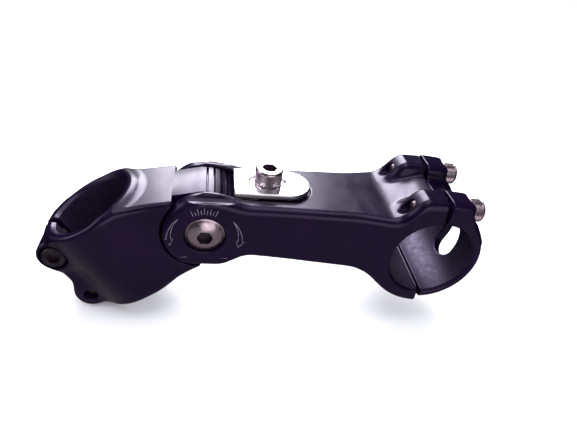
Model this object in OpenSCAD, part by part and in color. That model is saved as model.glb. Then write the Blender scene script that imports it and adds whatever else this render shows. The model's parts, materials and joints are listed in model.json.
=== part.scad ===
// Adjustable-angle handlebar stem: a clamp for the fork's steerer tube, a toothed tongue that an
// extension arm tilts about, a screw-down lock wedge, and a two-bolt handlebar clamp with a cap.
// Origin: centre of the steerer bore. +X runs along the arm, +Y across it, +Z up.

/* [Steerer clamp] */
// Diameter of the steerer tube and of its bore
steerer_d = 28.6; // [25.4:0.1:31.8]
// Wall of the clamp barrel round the steerer
steerer_wall = 4; // [3.4:0.1:5]
// Height of the clamp barrel along the steerer
clamp_h = 36; // [32:0.5:42]
// Lean of the steerer axis away from the arm's upright at rest
rest_lean = 32; // [22:1:42]
// Width of the neck behind the fork
neck_w = 27.4; // [24:0.2:29]
// Distance from the steerer axis forward to the tilt pivot
pivot_ahead = 34; // [32:0.5:38]
// Drop of the tilt pivot below the middle of the clamp
pivot_drop = 5; // [3:0.5:7]
// Gap of the split at the back of the clamp
split_gap = 2.4; // [1.6:0.2:3]
// Height of the two pinch bolts above and below the middle
pinch_rise = 10.4; // [9:0.1:11]

/* [Tilt joint] */
// Width of the toothed tongue
tongue_w = 16.9; // [15:0.1:17.5]
// Radius of the tongue over its tooth crests
tongue_r = 14.5; // [14.2:0.1:15]
// Number of teeth that a full circle would hold
teeth_per_turn = 36; // [36:36:36]
// Depth of the locking teeth
tooth_depth = 1.3; // [0.9:0.1:1.4]
// Radius of the two fork discs
ear_r = 14.8; // [14.5:0.1:15.2]
// Gap between the two fork ears
fork_gap = 17.8; // [17.8:0.1:18]
// Diameter of the pivot bolt
pivot_d = 8; // [8:1:8]

/* [Extension arm] */
// Width of the arm
arm_w = 30; // [28:0.5:31]
// Distance along the arm from the pivot to the handlebar axis
reach = 84.7; // [80:0.5:110]
// Drop of the handlebar axis below the pivot
bar_drop = 4.1; // [3:0.1:6]
// Height of the arm's top above the pivot
arm_top = 12.4; // [12:0.1:13]

/* [Handlebar clamp] */
// Diameter of the handlebar at the clamp
bar_d = 31.8; // [31.8:0.1:31.8]
// Width of the handlebar clamp
bar_clamp_w = 38; // [36:0.5:42]
// Wall of the cap in front of the bar
cap_wall = 3.9; // [3.6:0.1:4.6]
// Wall of the arm's half of the clamp
jaw_wall = 5.6; // [4.8:0.1:6]
// Gap between the arm's jaw and the cap
parting_gap = 1.4; // [0.8:0.1:2]
// Height of the clamp ears above the bar axis
ear_h = 25.4; // [24:0.2:27]
// Sideways distance of each clamp bolt from the middle
bolt_side = 13.1; // [12.4:0.1:13.4]
// Height of the clamp bolts above the bar axis
bolt_h = 19.8; // [19.4:0.1:20.6]
// Width of the window and of the notch between the ears
window_w = 11.2; // [9:0.2:12]

/* [Lock wedge] */
// Length of the wedge's plate
plate_l = 27.8; // [26:0.2:28]
// Width of the wedge's plate
plate_w = 17.1; // [16:0.1:17.4]
// Thickness of the wedge's plate
plate_t = 2; // [1.6:0.1:2.2]
// Distance from the pivot forward to the lock bolt
lock_bolt_ahead = 21.7; // [21.6:0.1:22.4]
// Travel of the wedge along its ramp from engaged to the slackened rest position
wedge_travel = 1.5; // [1.5:0.1:1.6]

/* [Hidden] */

$fn = 96;
run_gap = 0.05;                     // radial clearance of a running fit

black = [0.05, 0.04, 0.08];
steel = [0.78, 0.70, 0.76];
zinc = [0.88, 0.88, 0.90];
bronze = [0.72, 0.55, 0.32];
nylon = [0.90, 0.90, 0.86];

// Where the pivot and the bar axis come to lie, in the row frame
pivot_x = pivot_ahead * cos(rest_lean) + pivot_drop * sin(rest_lean);
pivot_z = pivot_ahead * sin(rest_lean) - pivot_drop * cos(rest_lean);

steerer_r = steerer_d / 2;
barrel_r = steerer_r + steerer_wall;
half_h = clamp_h / 2;
shoulder_r = ear_r + 0.5;
ear_flat = 13.3;                    // depth of the flat under the fork discs, below the pivot
neck_slope = 20;                    // fall of the neck's top towards the pivot
pinch_back = 17.5;                  // pinch bolts behind the steerer axis
pinch_boss_r = 6.2;
pinch_face = 12.2;                  // outer faces of the pinch ears
pivot_head_r = 7;
pivot_seat = 12;                    // seats of the pivot bolt's head and of the nut's flange, off the middle
nut_r = 5.45;
m5_r = 2.5;
m5_head_r = 4.25;
m5_head_h = 5;
m5_hex = 4;
m5_pitch = 0.8;

bar_r = bar_d / 2;
cap_r = bar_r + cap_wall;
jaw_r = bar_r + jaw_wall;
half_clamp = bar_clamp_w / 2;
half_gap = parting_gap / 2;
ear_front = 10.5;                   // front face of the cap's ears, ahead of the bar axis
ear_back = -7.5;                    // rear of the arm's clamp ears at full height
ear_start = -16.4;                  // where the ears start to rise from the arm
notch_half = 7;                     // half the notch between the clamp ears
ear_mid = (notch_half + bar_clamp_w / 2) / 2;
ear_w = bar_clamp_w / 2 - notch_half;
window_low = -39;                   // lowest and highest edges of the cap's window, round the bar
window_high = 40;
soft = 32;                          // sides of the rounds inside a hull
chamfer = 1;                        // bevel at the mouths of the two bores
clamp_seat = 9;                     // floor of the spot faces under the clamp washers
insert_r = 3.2;

tooth_pitch = 360 / teeth_per_turn;
first_crest = 85;                   // highest tooth of the tongue at rest, seen from the pivot
last_crest = -15;
ramp = 45;                          // slope of the wedge's ramp
plate_back = 9.5;                   // end of the plate over the tongue
plate_top = 14.6;
plate_pocket = 11.3;                // floor of the plate's recess in the arm
lock_r = 3;
lock_head_r = 5;
lock_head_h = 6;
ramp_top = 17.2;                    // where the ramp meets the floor of the recess
ramp_gap = 0.1;                     // slack between the ramp and the wedge's block, along the arm
tooth_gap = 0.12;                   // slack between the tongue and the wedge when it is screwed down
block_floor = 5.6;                  // lowest height that the wedge's block reaches, screwed down
ramp_run = ramp_top - plate_pocket; // the ramp's distance ahead of its own height
slide_x = wedge_travel * cos(ramp);
slide_z = wedge_travel * sin(ramp);

// Children are drawn with the steerer axis upright
module in_clamp() rotate([0, -rest_lean, 0]) children();

// Children are drawn from the pivot, along the arm
module in_arm() translate([pivot_x, 0, pivot_z]) children();

// Children are drawn from the handlebar axis
module in_bar() in_arm() translate([reach, 0, -bar_drop]) children();

// A side profile, given as length and height, drawn out to width w across the middle
module slab(w) translate([0, w / 2, 0]) rotate([90, 0, 0]) linear_extrude(w) children();

// A round bar across the middle
module cross_bar(r, w) rotate([90, 0, 0]) cylinder(r = r, h = w, center = true);

// A rounded rectangle, w by h
module round_rect(w, h, r) {
    square([w - 2 * r, h], center = true);
    square([w, h - 2 * r], center = true);
    for (sx = [-1, 1], sy = [-1, 1]) translate([sx * (w / 2 - r), sy * (h / 2 - r)]) circle(r);
}

// A disc across the middle with bevelled rims
module bevelled_bar(r, w, bevel) rotate([90, 0, 0]) rotate_extrude()
    polygon([[0, -w / 2], [r - bevel, -w / 2], [r, bevel - w / 2],
        [r, w / 2 - bevel], [r - bevel, w / 2], [0, w / 2]]);

// A through bore of radius r along z with bevelled mouths at heights h / 2 and -h / 2
module bore(r, h) {
    cylinder(r = r, h = h + 20, center = true);
    for (s = [0, 1]) mirror([0, 0, s]) translate([0, 0, h / 2 - chamfer])
        cylinder(r1 = r, r2 = r + 2 * chamfer, h = 2 * chamfer);
}

// A slab in the plane across the arm: w wide, from height lo to height hi, t thick, with corners of radius r
module arm_slice(x, w, lo, hi, r, t = 0.4) translate([x, 0, (lo + hi) / 2]) rotate([90, 0, 90])
    linear_extrude(t, center = true) round_rect(w, hi - lo, r, $fn = soft);

// Socket-head bolt: seat at z = 0, head above it, shank below it
module socket_bolt(r, len, head_r, head_h, hex) {
    difference() {
        union() {
            translate([0, 0, -len]) cylinder(r = r, h = len + 1);
            rotate_extrude() polygon([[0, 0], [head_r, 0], [head_r, head_h - 0.6], [head_r - 0.6, head_h],
                [0, head_h]]);
        }
        translate([0, 0, head_h / 2]) cylinder(d = hex / cos(30), h = head_h, $fn = 6);
    }
}

// Flat ring lying on z = 0
module ring(r_out, r_in, t) rotate_extrude() translate([r_in, 0]) square([r_out - r_in, t]);

// Turns a bolt drawn upright so that its head points to the near side (s = 1) or the far side (s = -1)
module sideways(s) rotate([s * 90, 0, 0]) children();

// ---- steerer clamp ----

function crests() = [first_crest : -tooth_pitch : last_crest];
function at(r, a) = [r * cos(a), r * sin(a)];

// V-shaped gaps between the tongue's teeth, seen from the pivot
module tooth_gaps(crest_r, root_r) for (a = crests())
    polygon([at(crest_r + 0.6, a + 0.72 * tooth_pitch), at(root_r, a + tooth_pitch / 2 + 0.6),
        at(root_r, a + tooth_pitch / 2 - 0.6), at(crest_r + 0.6, a + 0.28 * tooth_pitch)]);

// Side profile of the neck from the barrel to the shoulder
module neck_profile() difference() {
    polygon([[0, -half_h], [pivot_ahead - 6, -half_h], [pivot_ahead + 3, -half_h + 4],
        [pivot_ahead, half_h - 4 - pivot_ahead * 0.1], [30.2, half_h - 6.4], [12.7, half_h], [0, half_h]]);
    translate([pivot_ahead, -pivot_drop]) circle(shoulder_r);
    translate([pivot_ahead - 3.5, -half_h - 1]) square([20, clamp_h + 2]);
}

// Side profile of the tongue: tangent from the neck onto the toothed disc
module tongue_profile() difference() {
    union() {
        translate([pivot_ahead, -pivot_drop]) circle(tongue_r);
        polygon([at(tongue_r, 90 - neck_slope) + [pivot_ahead, -pivot_drop], [pivot_ahead, -pivot_drop],
            at(tongue_r, 250) + [pivot_ahead, -pivot_drop], [14.6, -half_h + 2], [14.6, half_h - 1.2]]);
    }
    translate([pivot_ahead, -pivot_drop]) rotate(-rest_lean) tooth_gaps(tongue_r, tongue_r - tooth_depth);
}

// Plan of the neck: it narrows from the barrel to the shoulder
module neck_plan() polygon([[0, barrel_r], [9, 17], [20, neck_w / 2 + 0.8], [32, neck_w / 2],
    [32, -neck_w / 2], [20, -neck_w / 2 - 0.8], [9, -17], [0, -barrel_r]]);

module pinch_bosses() for (s = [-1, 1]) {
    translate([-pinch_back, 0, s * pinch_rise]) bevelled_bar(pinch_boss_r, 2 * pinch_face, 1.2);
    translate([-pinch_back / 2, 0, s * (pinch_rise - 0.2)])
        cube([pinch_back, 2 * pinch_face, 2 * pinch_boss_r + 0.4], center = true);
}

module steerer_clamp() color(black) in_clamp() difference() {
    union() {
        cylinder(r = barrel_r, h = clamp_h, center = true);
        intersection() {
            slab(50) neck_profile();
            linear_extrude(clamp_h + 10, center = true) neck_plan();
        }
        slab(tongue_w) tongue_profile();
        pinch_bosses();
        translate([-15.5, 0, 0]) cube([10, 2 * pinch_face - 1, 2 * pinch_rise], center = true);
    }
    bore(steerer_r, clamp_h);
    translate([-25, 0, 0]) cube([30, split_gap, clamp_h + 20], center = true);
    translate([pivot_ahead, 0, -pivot_drop]) cross_bar(pivot_d / 2 + 1, tongue_w + 2);
    for (s = [-1, 1]) translate([-pinch_back, 0, s * pinch_rise]) sideways(s) {
        cylinder(r = m5_r + run_gap, h = 60, center = true);
        translate([0, 0, 7]) cylinder(r = m5_head_r + 0.75, h = 20);
    }
}

// Bronze bush pressed into the tongue
module pivot_bushing() color(bronze) in_clamp() translate([pivot_ahead, tongue_w / 2, -pivot_drop])
    rotate([90, 0, 0]) ring(pivot_d / 2 + 1, pivot_d / 2 + run_gap, tongue_w);

// The upper pinch bolt enters from the near side, the lower one from the far side
module at_pinch(s) in_clamp() translate([-pinch_back, 0, s * pinch_rise]) sideways(s)
    translate([0, 0, 7]) children();

module pinch_washer() color(steel) ring(m5_head_r + 0.45, m5_r + 0.15, 0.8);
module pinch_bolt() color(steel) translate([0, 0, 0.8]) socket_bolt(m5_r, 18, m5_head_r, m5_head_h, m5_hex);
module pinch_washer_upper() at_pinch(1) pinch_washer();
module pinch_bolt_upper() at_pinch(1) pinch_bolt();
module pinch_washer_lower() at_pinch(-1) pinch_washer();
module pinch_bolt_lower() at_pinch(-1) pinch_bolt();

// ---- extension arm ----

// Side profile of a fork ear: the pivot disc, clipped flat below, running into the arm
module ear_profile() difference() {
    union() {
        circle(ear_r);
        polygon([at(ear_r, 84), [17, arm_top], [17, -8.2], [7.2, -ear_flat], [0, -ear_flat]]);
    }
    translate([-30, -ear_flat - 30]) square([60, 30]);
}

// Side profile of the space for the tongue and for the wedge's block
module fork_space() {
    circle(tongue_r + 0.7);
    translate([-20, -20]) square([30, 40]);
    polygon([[9, -14], [13.5, -14], [13.5, plate_pocket - ramp_top + 13.5], [ramp_top, plate_pocket],
        [ramp_top + 10, plate_pocket + 10], [9, 30]]);
}

// Top outline of the wedge's plate, grown by g
module plate_outline(g) {
    translate([plate_back - g, -plate_w / 2 - g]) square([plate_l - plate_w / 2 + g, plate_w + 2 * g]);
    translate([plate_back + plate_l - plate_w / 2, 0]) circle(plate_w / 2 + g);
}

// The two ears rise from the arm on both sides of the notch
module clamp_ears() for (s = [-1, 1]) translate([0, s * ear_mid, 0]) hull() {
    arm_slice(-1.7, ear_w, 8, ear_h, 3.6, 2);
    arm_slice(ear_back + 2, ear_w, 8, ear_h - 0.4, 3.6, 2);
    arm_slice(ear_start, ear_w - 2, 4, 16.4, 2, 2);
}

module extension_arm() color(black) in_arm() difference() {
    union() {
        hull() {
            arm_slice(14, arm_w - 0.4, -8.2, arm_top, 4);
            arm_slice(reach - 26, arm_w + 2.6, -11.6, arm_top, 4);
        }
        hull() {
            arm_slice(reach - 26, arm_w + 2.6, -11.6, arm_top, 4);
            arm_slice(reach - 15, bar_clamp_w, -19, arm_top + 1, 5);
        }
        slab(arm_w) ear_profile();
        translate([reach, 0, -bar_drop]) {
            bevelled_bar(jaw_r, bar_clamp_w, 1.2);
            clamp_ears();
        }
    }
    slab(fork_gap) fork_space();
    translate([0, 0, plate_pocket]) linear_extrude(20) plate_outline(0.5);
    translate([lock_bolt_ahead, 0, -6]) cylinder(r = lock_r + 0.3, h = 30);
    translate([lock_bolt_ahead, 0, -5.5]) cylinder(r = 4, h = 10);
    cross_bar(pivot_d / 2 + run_gap, 60);
    translate([0, -pivot_seat, 0]) sideways(1) cylinder(r = pivot_head_r + 0.3, h = 20);
    translate([0, pivot_seat + 0.6, 0]) sideways(-1) cylinder(r = pivot_head_r + 0.3, h = 20);
    sideways(-1) cylinder(r = nut_r + 0.05, h = 30);
    translate([reach, 0, -bar_drop]) {
        rotate([90, 0, 0]) bore(bar_r, bar_clamp_w);
        translate([-half_gap, -40, -50]) cube([60, 80, 100]);
        translate([-4.2, -15.6, -jaw_r + 1.2]) cube([10, 31.2, 3]);
        for (s = [-1, 1]) translate([0, s * bolt_side, bolt_h]) rotate([0, -90, 0]) {
            cylinder(r = insert_r, h = 10.5);
            cylinder(r = m5_r + 0.1, h = 24);
        }
    }
}

// ---- pivot hardware ----

// Low domed bolt head on the near side, shank through both ears
module pivot_bolt() color(steel) in_arm() translate([0, -pivot_seat, 0]) sideways(1) difference() {
    union() {
        intersection() {
            translate([0, 0, -6.2]) sphere(r = 10.6);
            cylinder(r = pivot_head_r, h = 4.4);
        }
        translate([0, 0, -2 * pivot_seat - 1.4]) cylinder(r = pivot_d / 2, h = 2 * pivot_seat + 2);
    }
    translate([0, 0, 1.6]) cylinder(d = 5 / cos(30), h = 5, $fn = 6);
}

// Flanged nut let into the far ear
module pivot_nut() color(steel) in_arm() translate([0, pivot_seat + 0.6, 0]) sideways(-1) difference() {
    union() {
        cylinder(r = pivot_head_r + 0.2, h = 2.4);
        translate([0, 0, -3.2]) cylinder(r = nut_r, h = 3.3);
    }
    translate([0, 0, -10]) cylinder(r = pivot_d / 2 + run_gap, h = 20);
}

module thrust_washer() color(nylon) ring(11, pivot_d / 2 + 0.2, 0.4);
module thrust_washer_near() in_arm() translate([0, -tongue_w / 2 - 0.02, 0]) sideways(1) thrust_washer();
module thrust_washer_far() in_arm() translate([0, tongue_w / 2 + 0.02, 0]) sideways(-1) thrust_washer();

// ---- lock wedge and its bolt ----

// Point on the block's side of the ramp at height z
function on_ramp(z) = [z + ramp_run - ramp_gap, z];

// Teeth of the wedge: they fill the tongue's own gaps but for a working slack, in the engaged position
module wedge_teeth() for (gap = [4, 5]) let (a = first_crest - (gap + 0.5) * tooth_pitch)
    polygon([at(tongue_r + 1.5, a + 0.3 * tooth_pitch), at(tongue_r + tooth_gap, a + 0.16 * tooth_pitch),
        at(tongue_r - tooth_depth + 0.25, a + 0.04 * tooth_pitch),
        at(tongue_r - tooth_depth + 0.25, a - 0.04 * tooth_pitch),
        at(tongue_r + tooth_gap, a - 0.16 * tooth_pitch), at(tongue_r + 1.5, a - 0.3 * tooth_pitch)]);

// Side profile of the block under the plate, in the engaged position
module wedge_block_profile() {
    difference() {
        polygon([[plate_back, plate_pocket + 1], [plate_back, block_floor], on_ramp(block_floor),
            on_ramp(plate_pocket + 1)]);
        circle(tongue_r + tooth_gap);
    }
    intersection() {
        wedge_teeth();
        polygon([[0, block_floor], on_ramp(block_floor), on_ramp(plate_pocket), [0, plate_pocket]]);
    }
}

// The plate, hollowed underneath where it comes down over the tongue
module wedge_plate() difference() {
    translate([0, 0, plate_top - plate_t]) linear_extrude(plate_t) plate_outline(0);
    translate([slide_x, 0, slide_z]) cross_bar(tongue_r + tooth_gap, plate_w + 2);
}

module lock_wedge() color(zinc) in_arm() difference() {
    union() {
        wedge_plate();
        translate([slide_x, 0, slide_z]) slab(plate_w) wedge_block_profile();
    }
    translate([lock_bolt_ahead, 0, 0]) {
        translate([0, 0, plate_top - 0.9]) linear_extrude(5) square([3.6, 10.6], center = true);
        translate([0, 0, -5]) linear_extrude(40) square([3.6, 6.6], center = true);
        for (s = [-1, 1]) translate([s * 1.8, 0, 0]) {
            translate([0, 0, plate_top - 0.9]) cylinder(r = 5.3, h = 5);
            translate([0, 0, -5]) cylinder(r = 3.3, h = 40);
        }
    }
}

module at_lock() in_arm() translate([lock_bolt_ahead, 0, plate_top]) children();
module lock_bolt_washer() at_lock() color(steel) translate([0, 0, -0.8]) ring(5, lock_r + 0.15, 0.8);
module lock_bolt() at_lock() color(steel) socket_bolt(lock_r, 19, lock_head_r, lock_head_h, 5);
module lock_thread_insert() in_arm() color(steel) translate([lock_bolt_ahead, 0, -5.5])
    ring(4, lock_r + run_gap, 10);

// ---- handlebar clamp cap ----

module cap_ears() for (s = [-1, 1]) translate([0, s * ear_mid, 0]) hull() {
    arm_slice(1.7, ear_w, 12, ear_h, 3.6, 2);
    arm_slice(ear_front - 1, ear_w, 10, ear_h - 1, 3.6, 2);
    translate([8, 0, 11]) cube([15, ear_w, 2], center = true);
}

// Slot through the front of the cap with a round lower end
module window() {
    round_end = window_low + asin(window_w / 2 / cap_r);
    rotate([90, 0, 0]) rotate([0, 0, round_end]) rotate_extrude(angle = window_high - round_end)
        translate([bar_r - 5, -window_w / 2]) square([20, window_w]);
    rotate([0, -round_end, 0]) rotate([0, 90, 0]) cylinder(d = window_w, h = 40);
}

module bar_clamp_cap() color(black) in_bar() difference() {
    union() {
        bevelled_bar(cap_r, bar_clamp_w, 1.8);
        cap_ears();
        translate([half_gap, -15.3, -jaw_r + 1.4]) cube([6, 30.6, 2.6]);
        translate([-3.6, -15.3, -jaw_r + 1.4]) cube([7, 30.6, 2.6]);
    }
    rotate([90, 0, 0]) bore(bar_r, bar_clamp_w);
    difference() {
        translate([-60 + half_gap, -40, -50]) cube([60, 80, 100]);
        translate([-3.6, -15.3, -jaw_r + 1.4]) cube([7, 30.6, 2.6]);
    }
    window();
    for (s = [-1, 1]) translate([0, s * bolt_side, bolt_h]) rotate([0, 90, 0]) {
        cylinder(r = m5_r + 0.2, h = 30);
        translate([0, 0, clamp_seat]) cylinder(r = 5.2, h = 20);
    }
}

module at_clamp_bolt(s, x) in_bar() translate([x, s * bolt_side, bolt_h]) rotate([0, 90, 0]) children();
module clamp_washer() color(steel) ring(4.8, m5_r + 0.15, 0.8);
module clamp_bolt() color(steel) socket_bolt(m5_r, 22, m5_head_r, m5_head_h, m5_hex);
module clamp_insert() color(steel) ring(insert_r, m5_r + run_gap, 10.5 - half_gap);
module clamp_washer_near() at_clamp_bolt(-1, clamp_seat) clamp_washer();
module clamp_washer_far() at_clamp_bolt(1, clamp_seat) clamp_washer();
module clamp_bolt_near() at_clamp_bolt(-1, clamp_seat + 0.8) clamp_bolt();
module clamp_bolt_far() at_clamp_bolt(1, clamp_seat + 0.8) clamp_bolt();
module clamp_insert_near() at_clamp_bolt(-1, -10.5) clamp_insert();
module clamp_insert_far() at_clamp_bolt(1, -10.5) clamp_insert();

steerer_clamp();
pivot_bushing();
pinch_washer_upper();
pinch_bolt_upper();
pinch_washer_lower();
pinch_bolt_lower();
extension_arm();
pivot_bolt();
pivot_nut();
thrust_washer_near();
thrust_washer_far();
lock_wedge();
lock_bolt();
lock_bolt_washer();
lock_thread_insert();
bar_clamp_cap();
clamp_bolt_near();
clamp_bolt_far();
clamp_washer_near();
clamp_washer_far();
clamp_insert_near();
clamp_insert_far();
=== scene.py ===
"""Adjustable handlebar stem: detailed skins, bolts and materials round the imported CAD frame."""
import json
import math

import bmesh
import bpy
import numpy as np
from mathutils import Matrix, Vector


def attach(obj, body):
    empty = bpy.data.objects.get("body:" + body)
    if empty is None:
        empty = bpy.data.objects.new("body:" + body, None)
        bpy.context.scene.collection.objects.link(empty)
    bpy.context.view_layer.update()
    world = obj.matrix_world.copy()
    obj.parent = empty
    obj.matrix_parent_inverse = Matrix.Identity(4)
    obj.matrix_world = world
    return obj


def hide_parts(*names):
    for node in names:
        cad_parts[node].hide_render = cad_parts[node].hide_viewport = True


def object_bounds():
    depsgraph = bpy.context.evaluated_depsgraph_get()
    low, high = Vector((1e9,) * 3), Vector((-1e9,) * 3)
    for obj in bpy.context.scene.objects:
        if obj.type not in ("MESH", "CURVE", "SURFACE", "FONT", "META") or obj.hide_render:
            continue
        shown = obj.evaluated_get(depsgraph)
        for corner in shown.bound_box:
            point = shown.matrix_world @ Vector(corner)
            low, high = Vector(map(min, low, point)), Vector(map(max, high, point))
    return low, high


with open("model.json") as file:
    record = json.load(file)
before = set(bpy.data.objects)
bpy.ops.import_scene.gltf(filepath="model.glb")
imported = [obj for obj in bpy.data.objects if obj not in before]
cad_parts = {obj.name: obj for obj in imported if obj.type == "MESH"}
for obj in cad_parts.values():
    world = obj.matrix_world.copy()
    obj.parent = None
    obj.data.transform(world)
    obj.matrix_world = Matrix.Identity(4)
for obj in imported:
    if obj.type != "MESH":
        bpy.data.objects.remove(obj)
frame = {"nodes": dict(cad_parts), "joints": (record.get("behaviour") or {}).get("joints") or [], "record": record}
CAD_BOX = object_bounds()

MM = 0.001
RECORD = frame["record"]
JOINTS = {j["name"]: j for j in frame["joints"]}
MOUNTS = {m["name"]: m for m in RECORD["mounts"]}

# Places and sizes that the frame gives, in millimetres
PIVOT = np.array(JOINTS["arm_tilt"]["pos_m"]) / MM
BAR = np.array(MOUNTS["handlebar_bore"]["pos_m"]) / MM
STEERER_AXIS = np.array(MOUNTS["steerer_bore"]["axis"])
STEERER_R = MOUNTS["steerer_bore"]["dims"]["r_mm"]
BAR_R = MOUNTS["handlebar_bore"]["dims"]["r_mm"]
REACH, BAR_DROP = BAR[0] - PIVOT[0], PIVOT[2] - BAR[2]
LEAN = math.atan2(-STEERER_AXIS[0], STEERER_AXIS[2])
PIVOT_AHEAD = PIVOT[0] * math.cos(LEAN) + PIVOT[2] * math.sin(LEAN)
PIVOT_DROP = PIVOT[0] * math.sin(LEAN) - PIVOT[2] * math.cos(LEAN)

# Shared sizes, in millimetres
GRID = 0.5
MARGIN = 1.5
WALL_REACH = 0.12
HALF_ARM = 15.0
HALF_CLAMP = 19.0
ARM_TOP = 12.4
EAR_R = 14.8
HALF_FORK = 8.9
TONGUE_R = 14.5
HALF_TONGUE = 8.45
TONGUE_START = 15.0
TOOTH_PITCH = 10.0
TOOTH_DEPTH = 1.3
HALF_GAP = 0.7
JAW_R = BAR_R + 5.6
CAP_R = BAR_R + 3.9
LUG_TOP = 25.4
LUG_INNER = 7.0
TAB_DROP = 18.8
CHAMFER = 1.0
HEAD_SEAT, NUT_SEAT = 12.0, 12.6
BOLT_SIDE, BOLT_HEIGHT = 13.1, 19.8
LOCK_AHEAD = JOINTS["lock_bolt_turn"]["pos_m"][0] / MM - PIVOT[0]
PLATE_TOP, PLATE_THICK, PLATE_FLOOR = 14.6, 2.0, 11.3
PLATE_BACK, PLATE_LENGTH, PLATE_WIDTH = 9.5, 27.8, 17.1
RAMP_RUN = 5.9
SLOT_REACH, SLOT_HALF, SINK_HALF = 1.8, 3.3, 5.3
WEDGE_LIFT = 1.5 * math.sin(math.radians(45))
BARREL_R = STEERER_R + 4
BARREL_HALF = 18.0
PINCH_BACK, PINCH_RISE = 17.5, 10.4
WASHER_THICK, SEAT_GAP = 0.8, 0.03

# Screws: r is the thread's radius and key is the socket's width across flats, all in millimetres
M5 = {"r": 2.5, "head_r": 4.25, "head_h": 5.0, "key": 4.0, "pitch": 0.8}
M6 = {"r": 3.0, "head_r": 5.0, "head_h": 6.0, "key": 5.0, "pitch": 1.0}
M8_R = 4.0


# ---- distance shapes: negative inside, in millimetres ----

def smin(a, b, k):
    """Union of two shapes with a fillet about k wide."""
    h = np.clip(0.5 + 0.5 * (b - a) / k, 0, 1)
    return b + (a - b) * h - k * h * (1 - h)


def smax(a, b, k):
    """Overlap of two shapes with a rounded edge about k wide."""
    return -smin(-a, -b, k)


def drawn(profile, across, r):
    """A profile drawn out as far as across says, with its rims rounded to radius r."""
    a, b = profile + r, across + r
    return np.hypot(np.maximum(a, 0), np.maximum(b, 0)) + np.minimum(np.maximum(a, b), 0) - r


def ease(x, start, end):
    """0 before start, 1 after end, and an S-curve between them."""
    t = np.clip((x - start) / (end - start), 0, 1)
    return t * t * (3 - 2 * t)


def arm_side(x, z):
    """Side view of the arm without its handlebar clamp: beam, and the fork's discs, flat underneath."""
    taper = 3.4 * np.clip((x - 14) / 44.7, 0, 1)
    low = -8.2 - taper - 8 * ease(x, 55, 77)
    middle, tall = (ARM_TOP + low) / 2, (ARM_TOP - low) / 2
    beam = np.maximum(np.abs(z - middle) - tall, np.maximum(2 - x, x - REACH))
    disc = smax(np.hypot(x, z) - EAR_R, -13.3 - z, 1.2)
    return smin(beam, disc, 5.5)


def fork_cut(x, side, z):
    """Space for the tongue, and the ramp for the wedge's block."""
    ramp = np.maximum((x - z - RAMP_RUN) / math.sqrt(2), 13.5 - RAMP_RUN - z)
    profile = np.minimum(np.minimum(np.hypot(x, z) - TONGUE_R - 0.7, x - 13.5), ramp)
    return np.maximum(profile, side - HALF_FORK)


def plate_cut(x, y, z):
    """Recess for the wedge's plate, with a round front end."""
    half = PLATE_WIDTH / 2 + 0.5
    centre = PLATE_BACK + PLATE_LENGTH - PLATE_WIDTH / 2
    ahead = np.maximum(x - centre, 0)
    return np.maximum(np.hypot(ahead, y) - half, PLATE_FLOOR - z)


def pivot_cut(x, y, z):
    """Bolt hole through both ears, with sunk seats for the bolt's head and for the nut."""
    off = np.hypot(x, z)
    far_hole_r, near_hole_r, seat_r = 5.5, 4.05, 7.3
    hole = np.where(y > 0, off - far_hole_r, off - near_hole_r)
    seats = np.maximum(off - seat_r, np.minimum(y + HEAD_SEAT, NUT_SEAT - y))
    return np.minimum(hole, seats)


def bar_bore(x, side, z):
    """The handlebar's bore with chamfered mouths, from the bar's axis."""
    return np.hypot(x, z) - BAR_R - np.maximum(side - HALF_CLAMP + CHAMFER, 0)


def arm_lug(x, side, z):
    """One of the two lugs behind the parting, from the bar's axis, rounded towards the middle."""
    floor = ARM_TOP + BAR_DROP - 4.0
    rise = floor + (LUG_TOP - floor) * ease(x, -21.0, -7.5)
    profile = np.maximum((z - rise) * 0.75, np.maximum(-24 - x, 4 - z))
    return drawn(profile, LUG_INNER - side, 3.4)


def arm_shape(x, y, z):
    """The whole extension arm, from the pivot."""
    side = np.abs(y)
    bx, bz = x - REACH, z + BAR_DROP
    body = smin(arm_side(x, z), np.hypot(bx, bz) - JAW_R, 5.0)
    body = smin(body, arm_lug(bx, side, bz), 2.6)
    half = HALF_ARM + 1.3 * ease(x, 20, 60) + 2.7 * ease(x, 52, 71)
    body = drawn(body, side - half, 1.4 + 1.9 * ease(z, -2, 8))
    body = smax(body, bx + HALF_GAP, 0.5)
    body = smax(body, -fork_cut(x, side, z), 0.7)
    body = smax(body, -plate_cut(x, y, z), 0.6)
    body = smax(body, -pivot_cut(x, y, z), 0.5)
    lock_hole = np.maximum(np.hypot(x - LOCK_AHEAD, y) - 4, -5.5 - z)
    body = smax(body, -lock_hole, 0.3)
    body = smax(body, -bar_bore(bx, side, bz), 0.5)
    groove = np.maximum(np.maximum(-4.2 - bx, side - 15.6), np.abs(bz + TAB_DROP) - 1.5)
    body = smax(body, -groove, 0.3)
    hole_r, insert_r, insert_deep = 2.6, 3.2, 10.5
    off = np.hypot(side - BOLT_SIDE, bz - BOLT_HEIGHT)
    threads = np.minimum(off - hole_r, np.maximum(off - insert_r, -insert_deep - bx))
    return smax(body, -threads, 0.3)


def cap_lug(x, side, z):
    """One of the cap's two lugs, from the bar's axis, rounded towards the middle."""
    slope = (x - 10.5 - 0.5 * np.maximum(21.5 - z, 0)) * 0.9
    front = smax(slope, z - LUG_TOP + 0.08 * x, 2.5)
    return drawn(np.maximum(front, 9 - z), LUG_INNER - side, 3.2)


def window_cut(x, side, z):
    """Slot through the cap's front with a round lower end."""
    round_end, top_end = math.radians(-22.6), math.radians(40)
    angle = np.arctan2(z, x)
    along = np.maximum(round_end - angle, 0) * CAP_R
    return np.maximum(np.hypot(along, side) - 5.6, (angle - top_end) * CAP_R)


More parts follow.
